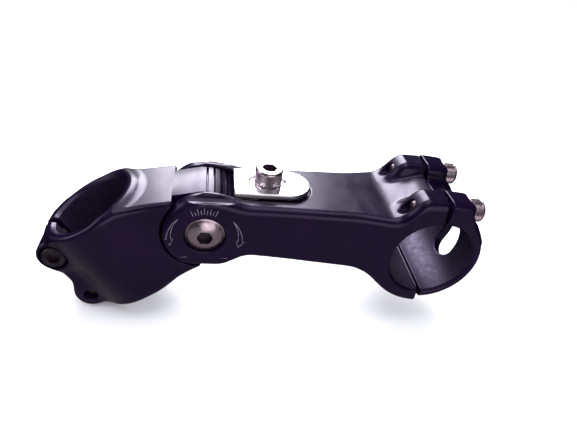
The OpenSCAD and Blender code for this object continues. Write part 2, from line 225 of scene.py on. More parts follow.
def cap_shape(x, y, z):
    """The handlebar clamp's cap, from the bar's axis."""
    side = np.abs(y)
    body = smin(np.hypot(x, z) - CAP_R, cap_lug(x, side, z), 3.0)
    body = drawn(body, side - HALF_CLAMP, 2.2)
    body = smax(body, HALF_GAP - x, 0.5)
    bore = bar_bore(x, side, z)
    body = smax(body, -bore, 0.5)
    body = smax(body, -window_cut(x, side, z), 0.8)
    tab = np.maximum(np.maximum(np.abs(x + 0.1) - 3.5, side - 15.3), np.abs(z + TAB_DROP) - 1.3)
    body = smin(body, np.maximum(tab, -bore), 0.3)
    hole_r, seat_r, seat_ahead = 2.7, 5.2, 9
    off = np.hypot(side - BOLT_SIDE, z - BOLT_HEIGHT)
    holes = np.minimum(off - hole_r, np.maximum(off - seat_r, seat_ahead - x))
    return smax(body, -np.maximum(holes, -x), 0.4)


def neck_shape(u, side, w):
    """The neck between the barrel and the fork, in the clamp's own frame."""
    half = 13.7 + 3.0 * (1 - ease(u, 0, 24))
    top = BARREL_HALF - math.tan(math.radians(20)) * np.maximum(u - 12.7, 0)
    low = -BARREL_HALF + 0.45 * np.maximum(u - 26, 0)
    profile = smax((w - top) * 0.95, low - w, 1.0)
    neck = drawn(np.maximum(profile, u - PIVOT_AHEAD + 3.5), side - half, 2.2)
    shoulder = np.hypot(u - PIVOT_AHEAD, w + PIVOT_DROP) - EAR_R - 0.6
    return smax(smax(neck, -shoulder, 0.8), 4 - u, 6.0)


def pinch_shape(u, side, w):
    """The two bosses behind the split, and the web between them."""
    boss_r, half_bosses, web_back, half_web = 6.2, 12.2, 20.5, 11.7
    high = np.abs(w)
    behind = np.minimum(u + PINCH_BACK, 0)
    bosses = drawn(np.hypot(behind, high - PINCH_RISE) - boss_r, side - half_bosses, 1.8)
    web = drawn(np.maximum(high - PINCH_RISE, -web_back - u), side - half_web, 1.8)
    return np.maximum(smin(bosses, web, 3.5), u)


def clamp_shape(u, y, w):
    """The steerer clamp without its tongue, in its own frame."""
    side = np.abs(y)
    barrel = drawn(np.abs(w) - BARREL_HALF, np.hypot(u, y) - BARREL_R, 1.5)
    body = smin(barrel, neck_shape(u, side, w), 3.5)
    body = smin(body, pinch_shape(u, side, w), 3.0)
    bore = np.hypot(u, y) - STEERER_R - np.maximum(np.abs(w) - BARREL_HALF + CHAMFER, 0)
    body = smax(body, -bore, 0.5)
    half_split, hole_r, seat_r, seat_side = 1.2, 2.55, 5.0, 7
    body = smax(body, -np.maximum(side - half_split, u + 8), 0.4)
    off = np.hypot(u + PINCH_BACK, np.abs(w) - PINCH_RISE)
    outward = np.where(w > 0, -y, y)
    holes = np.minimum(off - hole_r, np.maximum(off - seat_r, seat_side - outward))
    return smax(body, -holes, 0.5)


# ---- mesh helpers ----

# Turns a side view, drawn in x and y, to stand in x and z
STAND = Matrix(((1, 0, 0, 0), (0, 0, -1, 0), (0, 1, 0, 0), (0, 0, 0, 1)))


def in_arm(points):
    """From the pivot to the stem's frame."""
    return points + PIVOT


def in_bar(points):
    """From the bar's axis to the stem's frame."""
    return points + BAR


def in_clamp(points):
    """From the clamp's own frame, in which the steerer is upright, to the stem's."""
    c, s = math.cos(LEAN), math.sin(LEAN)
    u, y, w = points.T
    return np.stack([u * c - w * s, y, u * s + w * c], 1)


def new_piece(name, points, faces, unit=MM):
    """An object from points in millimetres, made in metres unless unit is 1."""
    mesh = bpy.data.meshes.new(name)
    mesh.from_pydata((np.asarray(points) * unit).tolist(), [], faces)
    mesh.validate()
    mesh.shade_smooth()
    piece = bpy.data.objects.new(name, mesh)
    bpy.context.scene.collection.objects.link(piece)
    return piece


def edge_crossings(field, axis):
    """Which of the grid's edges along one axis the surface crosses, how far along, and which start inside."""
    a = np.moveaxis(field, axis, 0)[:-1]
    b = np.moveaxis(field, axis, 0)[1:]
    crossed = (a < 0) != (b < 0)
    share = np.where(crossed, a / np.where(crossed, a - b, 1), 0)
    return np.moveaxis(crossed, 0, axis), np.moveaxis(share, 0, axis), np.moveaxis(a < 0, 0, axis)


def surface_net(field):
    """Points, in grid units, and quads of a surface that has one point in each crossed cell."""
    cells = tuple(n - 1 for n in field.shape)
    total = np.zeros(cells + (3,))
    count = np.zeros(cells)
    quads = []
    number = np.arange(np.prod(cells)).reshape(cells)
    for axis in range(3):
        crossed, share, inside = edge_crossings(field, axis)
        p, q = [k for k in range(3) if k != axis]
        for dp in (0, 1):
            for dq in (0, 1):
                part = [slice(None)] * 3
                part[p] = slice(dp, dp + cells[p])
                part[q] = slice(dq, dq + cells[q])
                part = tuple(part)
                hit = crossed[part]
                count += hit
                total[..., p] += hit * dp
                total[..., q] += hit * dq
                total[..., axis] += share[part]
        inner = [slice(None)] * 3
        inner[p] = slice(1, -1)
        inner[q] = slice(1, -1)
        at = np.argwhere(crossed[tuple(inner)])
        leaves = inside[tuple(inner)][tuple(at.T)]
        corner = []
        for dp, dq in ((0, 0), (1, 0), (1, 1), (0, 1)):
            step = np.zeros(3, int)
            step[p], step[q] = dp, dq
            corner.append(number[tuple((at + step).T)])
        corner = np.stack(corner, 1)
        flip = leaves != (axis != 1)
        corner[flip] = corner[flip][:, ::-1]
        quads.append(corner)
    used = count.ravel() > 0
    where = np.argwhere(count > 0)
    points = where + total[count > 0] / count[count > 0][:, None]
    renumber = np.cumsum(used) - 1
    return points, renumber[np.concatenate(quads)]


def value_and_slope(shape, points):
    """A shape's value and gradient at points."""
    d = 0.02
    steps = d * np.eye(3)
    grad = [(shape(*(points + step).T) - shape(*(points - step).T)) / (2 * d) for step in steps]
    return shape(*points.T), np.stack(grad, 1)


def sculpt(name, shape, low, high, place):
    """A smooth piece from a distance shape, sampled on a grid and settled onto the true surface."""
    axes = [np.arange(a, b + GRID, GRID) for a, b in zip(low, high)]
    mesh_grid = np.meshgrid(*axes, indexing="ij", sparse=True)
    field = np.broadcast_to(shape(*mesh_grid), [len(a) for a in axes])
    points, quads = surface_net(field)
    points = points * GRID + np.array([a[0] for a in axes])
    for _ in range(3):
        value, grad = value_and_slope(shape, points)
        size = np.maximum((grad ** 2).sum(1), 0.2)
        move = np.clip(value / size, -0.3 * GRID, 0.3 * GRID)
        points = points - move[:, None] * grad
    grad = value_and_slope(shape, points)[1]
    normals = place(grad) - place(np.zeros((1, 3)))
    normals /= np.maximum(np.linalg.norm(normals, axis=1), 1e-9)[:, None]
    piece = new_piece(name, place(points), quads.tolist())
    piece.data.normals_split_custom_set_from_vertices(normals.tolist())
    return piece


def circle(radius, turn, height):
    """Points at the angles turn, at one height, with one radius or one for each angle."""
    return np.stack([radius * np.cos(turn), radius * np.sin(turn), np.full(len(turn), height)], 1).tolist()


def wall_faces(rows, sides, closed):
    """Quads between rows of points, with the last row joined to the first if closed."""
    faces = []
    for k in range(rows if closed else rows - 1):
        m = (k + 1) % rows
        for s in range(sides):
            t = (s + 1) % sides
            faces.append([k * sides + s, k * sides + t, m * sides + t, m * sides + s])
    return faces


def capped_faces(rows, sides):
    """Faces of a solid made of rows of points, with a flat cap at each end."""
    bottom = list(range(sides))[::-1]
    top = list(range((rows - 1) * sides, rows * sides))
    return wall_faces(rows, sides, False) + [bottom, top]


def turned(profile, sides=96):
    """Points of a profile of (radius, height) pairs turned about z."""
    turn = np.arange(sides) * 2 * math.pi / sides
    return np.array([point for r, h in profile for point in circle(r, turn, h)])


def bevelled_ring(r_out, r_in, low, high, bevel=0.15, sides=72):
    """A flat ring with bevelled rims."""
    profile = [(r_in + bevel, low), (r_out - bevel, low), (r_out, low + bevel), (r_out, high - bevel),
               (r_out - bevel, high), (r_in + bevel, high), (r_in, high - bevel), (r_in, low + bevel)]
    return turned(profile, sides), wall_faces(len(profile), sides, True)


def sharpen(piece, degrees=35):
    """Keeps edges steeper than the given angle crisp."""
    mesh = bmesh.new()
    mesh.from_mesh(piece.data)
    bmesh.ops.remove_doubles(mesh, verts=mesh.verts, dist=1e-7)
    bmesh.ops.recalc_face_normals(mesh, faces=mesh.faces)
    for edge in mesh.edges:
        if len(edge.link_faces) == 2:
            edge.smooth = edge.calc_face_angle() < math.radians(degrees)
    mesh.to_mesh(piece.data)
    mesh.free()
    return piece


def baked(piece):
    """Applies a piece's modifiers to its mesh."""
    graph = bpy.context.evaluated_depsgraph_get()
    mesh = bpy.data.meshes.new_from_object(piece.evaluated_get(graph))
    piece.modifiers.clear()
    piece.data = mesh
    return piece


def cut(piece, cutter):
    """Takes the cutter's solid out of the piece."""
    tool = piece.modifiers.new("cut", "BOOLEAN")
    tool.operation = "DIFFERENCE"
    tool.solver = "EXACT"
    tool.object = cutter
    baked(piece)
    bpy.data.objects.remove(cutter)


def prism(name, outlines, half, bevel):
    """A solid between -half and half with round bevels, from 2-D outlines: inner ones are holes."""
    curve = bpy.data.curves.new(name, "CURVE")
    curve.dimensions = "2D"
    curve.fill_mode = "BOTH"
    curve.extrude = half - bevel
    curve.bevel_depth = bevel
    curve.bevel_resolution = 2
    curve.offset = -bevel
    for outline in outlines:
        spline = curve.splines.new("POLY")
        spline.points.add(len(outline) - 1)
        for point, (a, b) in zip(spline.points, outline):
            point.co = (a, b, 0, 1)
        spline.use_cyclic_u = True
    holder = bpy.data.objects.new(name, curve)
    bpy.context.scene.collection.objects.link(holder)
    bpy.context.view_layer.update()
    graph = bpy.context.evaluated_depsgraph_get()
    mesh = bpy.data.meshes.new_from_object(holder.evaluated_get(graph))
    bpy.data.objects.remove(holder)
    piece = bpy.data.objects.new(name, mesh)
    bpy.context.scene.collection.objects.link(piece)
    return sharpen(piece)


def polar(radius, angle, centre=(0, 0)):
    """The point at a radius and an angle in degrees."""
    a = math.radians(angle)
    return (centre[0] + radius * math.cos(a), centre[1] + radius * math.sin(a))


def arc(radius, start, end, steps, centre=(0, 0)):
    """Points on an arc, with angles in degrees."""
    return [polar(radius, a, centre) for a in np.linspace(start, end, steps)]


def stadium(r, reach):
    """Outline of a slot: two half circles of radius r, reach off the middle."""
    return arc(r, -90, 90, 17, (reach, 0)) + arc(r, 90, 270, 17, (-reach, 0))


def upright(points, origin, axis):
    """Turns points drawn along z so that z lies along axis, and moves them to origin."""
    turn = np.array(Vector((0, 0, 1)).rotation_difference(Vector(axis)).to_matrix())
    return np.asarray(points) @ turn.T + np.asarray(origin)


def move_mesh(piece, origin, axis):
    """As upright(), for a piece drawn along z in millimetres, which also becomes metres."""
    turn = Vector((0, 0, 1)).rotation_difference(Vector(axis)).to_matrix().to_4x4()
    piece.data.transform(Matrix.Translation(Vector(origin) * MM) @ turn @ Matrix.Scale(MM, 4))


# ---- materials ----

class Nodes:
    """A short way to lay out a material's nodes."""

    def __init__(self, name):
        self.material = bpy.data.materials.new(name)
        self.material.use_nodes = True
        self.tree = self.material.node_tree
        self.tree.nodes.clear()
        self.shader = self.add("ShaderNodeBsdfPrincipled")
        out = self.add("ShaderNodeOutputMaterial")
        self.link(self.shader.outputs[0], out.inputs["Surface"])
        self.place = self.add("ShaderNodeTexCoord").outputs["Object"]

    def add(self, kind):
        """A new node."""
        return self.tree.nodes.new(kind)

    def link(self, a, b):
        """Joins an output to an input."""
        self.tree.links.new(a, b)

    def noise(self, scale, detail, stretch=(1, 1, 1)):
        """A noise value on the object's own coordinates, stretched along each axis."""
        mapping = self.add("ShaderNodeMapping")
        mapping.inputs["Scale"].default_value = stretch
        self.link(self.place, mapping.inputs["Vector"])
        node = self.add("ShaderNodeTexNoise")
        node.inputs["Scale"].default_value = scale
        node.inputs["Detail"].default_value = detail
        self.link(mapping.outputs["Vector"], node.inputs["Vector"])
        return node.outputs["Fac"]

    def roughness(self, value, low, high):
        """Roughness between low and high, driven by a noise value."""
        node = self.add("ShaderNodeMapRange")
        self.link(value, node.inputs["Value"])
        for key, number in (("From Min", 0.3), ("From Max", 0.7), ("To Min", low), ("To Max", high)):
            node.inputs[key].default_value = number
        self.link(node.outputs["Result"], self.shader.inputs["Roughness"])

    def colour(self, value, *stops):
        """Base colour from two stops of (position, colour), driven by a noise value."""
        node = self.add("ShaderNodeValToRGB")
        for element, (at, shade) in zip(node.color_ramp.elements, stops):
            element.position = at
            element.color = (*shade, 1)
        self.link(value, node.inputs["Fac"])
        self.link(node.outputs["Color"], self.shader.inputs["Base Color"])

    def bumps(self, layers):
        """Stacks bump layers of (height, strength, distance in metres)."""
        normal = None
        for height, strength, distance in layers:
            node = self.add("ShaderNodeBump")
            node.inputs["Strength"].default_value = strength
            node.inputs["Distance"].default_value = distance
            self.link(height, node.inputs["Height"])
            if normal is not None:
                self.link(normal, node.inputs["Normal"])
            normal = node.outputs["Normal"]
        self.link(normal, self.shader.inputs["Normal"])

    def socket(self, name, value):
        """Sets one of the shader's inputs."""
        self.shader.inputs[name].default_value = value


def black_paint():
    """Semi-gloss black paint with a violet cast, a fine orange-peel grain and faint handling marks."""
    n = Nodes("black_paint")
    cloud = n.noise(70, 3)
    n.colour(cloud, (0.3, (0.0026, 0.0005, 0.009)), (0.7, (0.0045, 0.0009, 0.014)))
    rub = n.noise(260, 5, (1, 0.5, 1))
    n.roughness(rub, 0.27, 0.36)
    n.socket("Specular IOR Level", 0.32)
    n.socket("Specular Tint", (0.80, 0.62, 1.0, 1))
    n.socket("Coat Weight", 0.08)
    n.socket("Coat Roughness", 0.12)
    n.bumps([(n.noise(1500, 2), 0.10, 0.00004), (n.noise(520, 3), 0.10, 0.00008)])
    return n.material


def bore_paint():
    """The thinner, grainier coat inside the clamp bores."""
    n = Nodes("bore_paint")
    grain = n.noise(900, 5)
    n.colour(grain, (0.3, (0.004, 0.002, 0.010)), (0.75, (0.018, 0.012, 0.032)))
    n.roughness(n.noise(420, 4), 0.38, 0.55)
    n.socket("Specular IOR Level", 0.4)
    n.socket("Specular Tint", (0.72, 0.55, 1.0, 1))
    n.bumps([(grain, 0.35, 0.00006)])
    return n.material


def satin_steel():
    """Satin stainless steel, faintly mauve, with a fine grain and handling smudges."""
    n = Nodes("satin_steel")
    smudge = n.noise(180, 4)
    n.colour(smudge, (0.25, (0.46, 0.36, 0.42)), (0.75, (0.66, 0.56, 0.62)))
    n.socket("Metallic", 1.0)
    n.roughness(n.noise(1100, 4), 0.22, 0.40)
    n.bumps([(n.noise(2600, 3), 0.10, 0.00001), (n.noise(300, 2), 0.03, 0.00004)])
    return n.material


def dark_steel_and_socket_shade():
    """Darker steel for the threads and the inserts, which on the walls and floors of the hexagon sockets is
    painted shade.
    """
    n = Nodes("dark_steel_and_socket_shade")
    n.colour(n.noise(600, 5), (0.3, (0.10, 0.07, 0.10)), (0.7, (0.22, 0.17, 0.21)))
    n.socket("Metallic", 1.0)
    n.roughness(n.noise(1500, 3), 0.35, 0.5)
    n.bumps([(n.noise(2200, 3), 0.2, 0.00003)])
    return n.material


def black_oxide():
    """Black-oxide steel of the pinch bolts."""
    n = Nodes("black_oxide")
    n.colour(n.noise(400, 4), (0.3, (0.020, 0.014, 0.024)), (0.7, (0.050, 0.038, 0.055)))
    n.socket("Metallic", 0.8)
    n.roughness(n.noise(1300, 3), 0.35, 0.5)
    n.bumps([(n.noise(2200, 3), 0.15, 0.00002)])
    return n.material


def bright_zinc():
    """Bright zinc plate with a fine lengthways brushing."""
    n = Nodes("bright_zinc")
    streak = n.noise(420, 6, (0.12, 1, 1))
    n.colour(streak, (0.3, (0.74, 0.73, 0.77)), (0.7, (0.90, 0.89, 0.92)))
    n.socket("Metallic", 1.0)
    n.roughness(n.noise(900, 4, (0.1, 1, 1)), 0.26, 0.42)
    n.bumps([(streak, 0.10, 0.00003), (n.noise(150, 2), 0.05, 0.00006)])
    return n.material


def turned_bronze():
    """Bronze with a fine drawn-out grain."""
    n = Nodes("turned_bronze")
    n.colour(n.noise(300, 4), (0.3, (0.42, 0.26, 0.10)), (0.7, (0.60, 0.42, 0.20)))
    n.socket("Metallic", 1.0)
    n.roughness(n.noise(1200, 3), 0.3, 0.45)
    n.bumps([(n.noise(1800, 2, (1, 6, 1)), 0.15, 0.00002)])
    return n.material


def natural_nylon():
    """Milky nylon of the thrust washers."""
    n = Nodes("natural_nylon")
    n.colour(n.noise(220, 3), (0.3, (0.70, 0.69, 0.63)), (0.7, (0.80, 0.79, 0.74)))
    n.roughness(n.noise(700, 3), 0.45, 0.6)
    n.socket("Subsurface Weight", 0.15)
    n.bumps([(n.noise(1500, 2), 0.1, 0.00003)])
    return n.material


def printed_grey():
    """Thin grey pad print, a little worn."""
    n = Nodes("printed_grey")
    n.colour(n.noise(900, 5), (0.35, (0.05, 0.04, 0.06)), (0.6, (0.20, 0.18, 0.22)))
    n.roughness(n.noise(700, 3), 0.5, 0.65)
    n.bumps([(n.noise(2000, 2), 0.1, 0.00002)])
    return n.material


def pale_floor():
    """Plain pale studio floor."""
    n = Nodes("pale_floor")
    n.colour(n.noise(3, 2), (0.3, (0.88, 0.88, 0.885)), (0.7, (0.90, 0.90, 0.90)))
    n.socket("Roughness", 0.9)
    n.socket("Specular IOR Level", 0.1)
    return n.material


PAINT = black_paint()
BORE = bore_paint()
STEEL = satin_steel()
DARK_AND_SOCKET_SHADE = dark_steel_and_socket_shade()
# darker steel for threads and inserts, also painted shade in the bolt sockets
OXIDE = black_oxide()
ZINC = bright_zinc()
BRONZE = turned_bronze()
NYLON = natural_nylon()
PRINT = printed_grey()


def finish_piece(piece, body, slot, material, *replaced):
    """Gives a piece its material, unless it has one, and its body, and hides the CAD nodes that it stands for. The
    slot is not used.
    """
    if not piece.data.materials:
        piece.data.materials.append(material)
    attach(piece, body)
    for node in replaced:
        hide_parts(node)


def paint_inside(piece, inner, test):
    """Paints the piece, and gives faces whose centres, in millimetres, pass the test the inner material."""
    piece.data.materials.append(PAINT)
    piece.data.materials.append(inner)
    count = len(piece.data.polygons)
    centres = np.zeros(count * 3)
    piece.data.polygons.foreach_get("center", centres)
    chosen = test(centres.reshape(-1, 3) / MM).astype(np.int32)
    piece.data.polygons.foreach_set("material_index", chosen)
    piece.data.update()


# ---- painted parts ----

def in_bar_bore(points):
    """Which points lie on the handlebar bore's wall."""
    x, y, z = (points - BAR).T
    return (np.hypot(x, z) < BAR_R + WALL_REACH) & (np.abs(y) < HALF_CLAMP)


def in_steerer_bore(points):
    """Which points lie on the steerer bore's wall."""
    x, y, z = points.T
    u = x * math.cos(LEAN) + z * math.sin(LEAN)
    return np.hypot(u, y) < STEERER_R + WALL_REACH


def make_arm():
    """The arm's skin, with the bar bore's rear half in the thinner coat."""
    edge = HALF_CLAMP + MARGIN
    low = (-17, -edge, -JAW_R - BAR_DROP - MARGIN)
    high = (REACH + 1, edge, LUG_TOP + 1)
    piece = sculpt("arm_skin", arm_shape, low, high, in_arm)
    paint_inside(piece, BORE, in_bar_bore)
    finish_piece(piece, "arm", "black_paint", PAINT, "extension_arm")


def make_cap():
    """The cap's skin, with the bar bore's front half in the thinner coat."""
    edge = HALF_CLAMP + MARGIN
    low = (-5, -edge, -CAP_R - MARGIN)
    high = (CAP_R + MARGIN, edge, LUG_TOP + MARGIN)
    piece = sculpt("cap_skin", cap_shape, low, high, in_bar)
    paint_inside(piece, BORE, in_bar_bore)
    finish_piece(piece, "bar_clamp_cap", "black_paint", PAINT, "bar_clamp_cap")


def make_clamp():
    """The steerer clamp's skin, with its bore in the thinner coat."""
    low = (-PINCH_BACK - 8, -BARREL_R - MARGIN, -BARREL_HALF - MARGIN)
    high = (PIVOT_AHEAD - 1, BARREL_R + MARGIN, BARREL_HALF + MARGIN)
    piece = sculpt("clamp_skin", clamp_shape, low, high, in_clamp)
    paint_inside(piece, BORE, in_steerer_bore)
    finish_piece(piece, "steerer_clamp", "black_paint", PAINT, "steerer_clamp")


def tongue_outline():
    """Side view of the tongue in the clamp's frame: toothed round the pivot, straight back to the barrel."""
    centre = (PIVOT_AHEAD, -PIVOT_DROP)
    lean = math.degrees(LEAN)
    root_r = TONGUE_R - TOOTH_DEPTH
    gap_profile = ((TONGUE_R, -1.75), (root_r, -0.6), (root_r, 0.6), (TONGUE_R, 1.75), (TONGUE_R, 5))
    points = [(TONGUE_START, -BARREL_HALF + 2)] + arc(TONGUE_R, -110, -19 - lean, 24, centre)
    for gap in np.arange(-10, 95, TOOTH_PITCH) - lean:
        points += [polar(r, gap + off, centre) for r, off in gap_profile]
    points += arc(TONGUE_R, 66, 70, 2, centre)
    return points + [(TONGUE_START, BARREL_HALF - 1.3)]


def make_tongue():
    """The toothed tongue, drawn in side view and stood up across the stem."""
    hole = arc(5.0, 0, 357, 90, (PIVOT_AHEAD, -PIVOT_DROP))
    piece = prism("toothed_tongue", [tongue_outline(), hole], HALF_TONGUE, 0.12)
    piece.data.transform(Matrix.Scale(MM, 4) @ Matrix.Rotation(-LEAN, 4, "Y") @ STAND)
    finish_piece(piece, "steerer_clamp", "black_paint", PAINT, "steerer_clamp")


# ---- lock wedge ----

def plate_outline():
    """The plate from above: square at the back and round in front."""
    centre = PLATE_BACK + PLATE_LENGTH - PLATE_WIDTH / 2
    half = PLATE_WIDTH / 2
    return [(PLATE_BACK, -half)] + arc(half, -90, 90, 49, (centre, 0)) + [(PLATE_BACK, half)]


def block_outline():
    """Side view of the toothed block under the plate, at rest: its ramp, and two teeth facing the tongue."""
    ramp = RAMP_RUN - 0.1
    low, top = 5.6, PLATE_FLOOR + 0.9
    points = [(low + ramp, low), (top + ramp, top), (PLATE_BACK + 0.4, top)]
    face = TONGUE_R + 0.12
    crest = face - 1.17
    for angle in (40, 30):
        for r, off in ((face, 1.6), (crest, 0.4), (crest, -0.4), (face, -1.6)):
            points.append(polar(r, angle + off))
    return [(x + WEDGE_LIFT, z + WEDGE_LIFT) for x, z in points]


def slot_tool(half, low, high):
    """Cutter for the lock bolt's slot, from height low to height high."""
    tool = prism("slot_tool", [stadium(half, SLOT_REACH)], (high - low) / 2, 0.0)
    tool.data.transform(Matrix.Translation((LOCK_AHEAD, 0, (high + low) / 2)))
    return tool


def make_wedge():
    """The slotted plate, hollowed underneath over the tongue, and its toothed block."""
    to_frame = Matrix.Translation(Vector(PIVOT) * MM) @ Matrix.Scale(MM, 4)
    plate = prism("wedge_plate", [plate_outline()], PLATE_THICK / 2, 0.35)
    plate.data.transform(Matrix.Translation((0, 0, PLATE_TOP - PLATE_THICK / 2)))
    tongue = arc(TONGUE_R + 0.2, 0, 358, 180, (WEDGE_LIFT, WEDGE_LIFT))
    bar = prism("bar_tool", [tongue], PLATE_WIDTH, 0.0)
    bar.data.transform(STAND)
    cut(plate, bar)
    cut(plate, slot_tool(SINK_HALF, PLATE_TOP - 0.9, 20))
    cut(plate, slot_tool(SLOT_HALF, 5, 20))
    plate.data.transform(to_frame)
    finish_piece(sharpen(plate), "lock_wedge", "wedge_zinc", ZINC, "lock_wedge")
    block = prism("wedge_block", [block_outline()], PLATE_WIDTH / 2 - 0.35, 0.1)
    block.data.transform(STAND)
    cut(block, slot_tool(SLOT_HALF, 4, 20))
    block.data.transform(to_frame)
    finish_piece(sharpen(block), "lock_wedge", "wedge_zinc", ZINC, "lock_wedge")


# ---- bolts and rings ----

def knurled_head(r, h, ridges=36):
    """A cap screw's head from its seat at z = 0: bevelled rims and crossed knurling round its side."""
    sides = ridges * 4
    knurl_depth, slant = 0.10, 4.2
    turn = np.arange(sides) * 2 * math.pi / sides
    rows = [(r - 0.35, 0.0, 0), (r, 0.35, 0)]
    rows += [(r, z, 1) for z in np.linspace(0.5, h - 1.0, 15)]
    rows += [(r, h - 0.8, 0), (r - 0.15, h - 0.35, 0), (r - 0.55, h, 0), (r - 1.2, h, 0)]
    points = []
    for radius, z, knurl in rows:
        crossed = np.cos(ridges * turn + slant * z) * np.cos(ridges * turn - slant * z)
        out = radius - knurl * knurl_depth * (1 - crossed)
        points += circle(out, turn, z)
    return np.array(points), capped_faces(len(rows), sides)


def threaded_shank(r, length, pitch, sides=48):
    """A shank below z = 0 with a helical thread, a plain neck under the head and a bevelled end."""
    rows_per_turn = 8
    rows = int(length / pitch * rows_per_turn)
    turn = np.arange(sides) / sides
    points = []
    for z in np.linspace(0.2, -length, rows):
        phase = (z / pitch - turn) % 1
        groove = 0.55 * pitch * np.clip(np.minimum(phase, 1 - phase) * 2 - 0.1, 0, 0.8)
        out = r - 0.02 - groove * (z < -1.2)
        out = np.minimum(out, r - 0.7 + (z + length))
        points += circle(out, turn * 2 * math.pi, z)
    return np.array(points), [face[::-1] for face in capped_faces(rows, sides)]


def hexagon(width):
    """Outline of a hexagon with the given width across its flats."""
    return arc(width / 2 / math.cos(math.radians(30)), 0, 300, 6)


def socket_cut(piece, width, depth, top):
    """Sinks a hexagon socket, with a bevelled mouth, into a head whose top is at the given height."""
    above = 2
    half = (depth + above) / 2
    tool = prism("socket_tool", [hexagon(width)], half, 0.0)
    tool.data.transform(Matrix.Translation((0, 0, top - depth + half)))
    cut(piece, tool)
    mouth = [(width / 2 - 0.4, top - 0.55), (width / 2 + 1.1, top + 0.95)]
    cut(piece, new_piece("mouth_tool", turned(mouth, 48), capped_faces(2, 48), 1))


def paint_socket_shade(piece, steel, width, top):
    """The socket's walls and floor take the darker steel, as painted shade in the socket."""
    piece.data.materials.clear()
    piece.data.materials.append(steel)
    piece.data.materials.append(DARK_AND_SOCKET_SHADE)
    for face in piece.data.polygons:
        x, y, z = face.center
        face.material_index = int(math.hypot(x, y) < width * 0.58 and 0 < z < top - 0.3)


def make_thread(name, origin, axis, points, faces, steel):
    """Places a shank that is drawn below z = 0."""
    shank = new_piece(name + "_thread", points, faces, 1)
    move_mesh(sharpen(shank, 60), origin, axis)
    finish_piece(shank, name, "fastener_steel", steel, name)


def make_socket_bolt(name, origin, axis, size, length, steel):
    """A cap screw whose seat is at origin and whose head points along axis."""
    height = size["head_h"]
    head = new_piece(name + "_head", *knurled_head(size["head_r"], height), 1)
    socket_cut(sharpen(head), size["key"], height * 0.55, height)
    # the socket's walls and floor get painted shade
    paint_socket_shade(head, steel, size["key"], height)
    move_mesh(sharpen(head, 40), origin, axis)
    finish_piece(head, name, "fastener_steel", steel, name)
    make_thread(name, origin, axis, *threaded_shank(size["r"], length, size["pitch"]), DARK_AND_SOCKET_SHADE)


def make_pivot_bolt():
    """Button head with a low dome, a narrow rim and a hexagon socket, on an 8 mm shank."""
    profile = [(4.0, -0.3), (4.3, 0.0), (6.8, 0.0), (7.0, 0.25), (7.0, 1.6), (6.85, 1.95)]
    dome_r, dome_centre, key, sides = 10.6, -6.3, 5.0, 120
    profile += [(r, dome_centre + math.sqrt(dome_r ** 2 - r * r)) for r in np.linspace(6.6, 2.0, 14)]
    faces = capped_faces(len(profile), sides)
    head = new_piece("pivot_bolt_head", turned(profile, sides), faces, 1)
    top = profile[-1][1]
    socket_cut(sharpen(head), key, 2.6, top - 0.1)
    # the socket's walls and floor get painted shade
    paint_socket_shade(head, STEEL, key, top)
    seat = PIVOT + np.array([0, -HEAD_SEAT, 0])
    move_mesh(sharpen(head, 32), seat, (0, -1, 0))
    finish_piece(head, "pivot_bolt", "fastener_steel", STEEL, "pivot_bolt")
    points, faces = threaded_shank(M8_R, 25.4, 1.25, 64)
    plain = points[:, 2] > -21
    off = np.hypot(points[:, 0], points[:, 1])
    points[plain, :2] *= ((M8_R - 0.02) / off[plain])[:, None]
    make_thread("pivot_bolt", seat, (0, -1, 0), points, faces, STEEL)


def make_washer(name, body, seat, axis, r_out, r_in, steel):
    """A washer under a bolt head whose seat is given."""
    points, faces = bevelled_ring(r_out, r_in, -WASHER_THICK, -SEAT_GAP)
    piece = new_piece(name + "_ring", upright(points, seat, axis), faces)
    finish_piece(sharpen(piece, 25), body, "fastener_steel", steel, name)


def make_pivot_nut():
    """Flanged nut in the far ear, with a narrower barrel behind its flange."""
    profile = [(5.45, -3.2), (5.45, 0.0), (7.0, 0.0), (7.2, 0.2), (7.2, 2.15), (6.95, 2.4)]
    profile += [(4.6, 2.4), (4.05, 1.9), (4.05, -3.2)]
    points = upright(turned(profile), PIVOT + np.array([0, NUT_SEAT, 0]), (0, 1, 0))
    piece = new_piece("pivot_nut_flange", points, wall_faces(len(profile), 96, True))
    finish_piece(sharpen(piece, 25), "arm", "fastener_steel", STEEL, "pivot_nut")


def seat_of(joint):
    """A screw joint's place, in millimetres, and its axis."""
    return np.array(JOINTS[joint]["pos_m"]) / MM, JOINTS[joint]["axis"]


def make_bolts():
    """Every cap screw and its washer, at the seats that the joints give."""
    up = (0, 0, 1)
    seat = seat_of("lock_bolt_turn")[0]
    make_socket_bolt("lock_bolt", seat, up, M6, 19, STEEL)
    make_washer("lock_bolt_washer", "lock_bolt_washer", seat, up, 5.0, 3.15, STEEL)
    for end in ("near", "far"):
        seat, axis = seat_of(f"clamp_bolt_{end}_turn")
        make_socket_bolt(f"clamp_bolt_{end}", seat, axis, M5, 22, STEEL)
        make_washer(f"clamp_washer_{end}", "bar_clamp_cap", seat, axis, 4.8, 2.65, STEEL)
    for end in ("upper", "lower"):
        seat, axis = seat_of(f"pinch_bolt_{end}_turn")
        make_socket_bolt(f"pinch_bolt_{end}", seat, axis, M5, 18, OXIDE)
        make_washer(f"pinch_washer_{end}", f"pinch_washer_{end}", seat, axis, 4.7, 2.65, OXIDE)


# ---- printed marks: generic arrows and a scale ----

def ribbon(path, width):
    """Quads along a flat path, given as (x, z) points."""
    path = np.array(path)
    ahead = np.gradient(path, axis=0)
    ahead /= np.linalg.norm(ahead, axis=1)[:, None]
    off = np.stack([-ahead[:, 1], ahead[:, 0]], 1) * width / 2
    points = np.concatenate([path + off, path - off])
    n = len(path)
    return points, [[k, k + 1, n + k + 1, n + k] for k in range(n - 1)]


